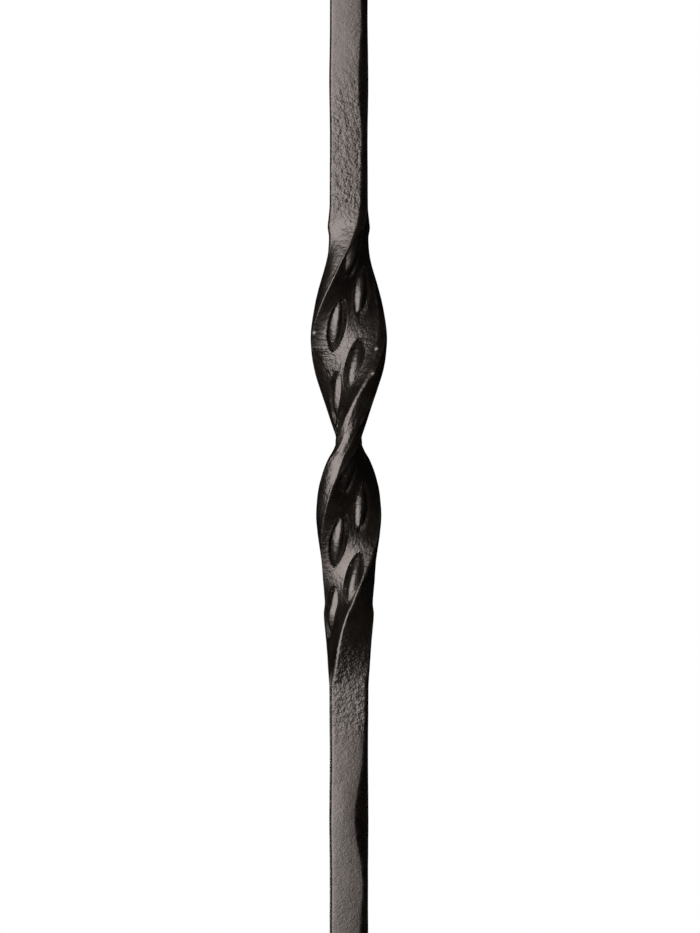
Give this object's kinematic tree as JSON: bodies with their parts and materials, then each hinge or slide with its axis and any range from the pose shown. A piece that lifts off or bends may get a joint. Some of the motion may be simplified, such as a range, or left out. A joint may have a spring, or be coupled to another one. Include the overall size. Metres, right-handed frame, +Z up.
{
  "type": "iron stair baluster",
  "caption": "Hammered square iron bar for a stair railing, with a flattened, twisted ribbon in its middle that carries staggered rows of seed-shaped bosses.",
  "frame": {"origin": "centre of the bottom end face", "axes": "+Z up along the bar, -Y towards the side shown in the picture"},
  "size_m": [0.0276, 0.024, 1.118],
  "materials": {
    "iron_paint": "satin brown-black paint over hammered iron"
  },
  "bodies": {
    "root": {"baluster": "iron_paint"}
  },
  "joints": []
}
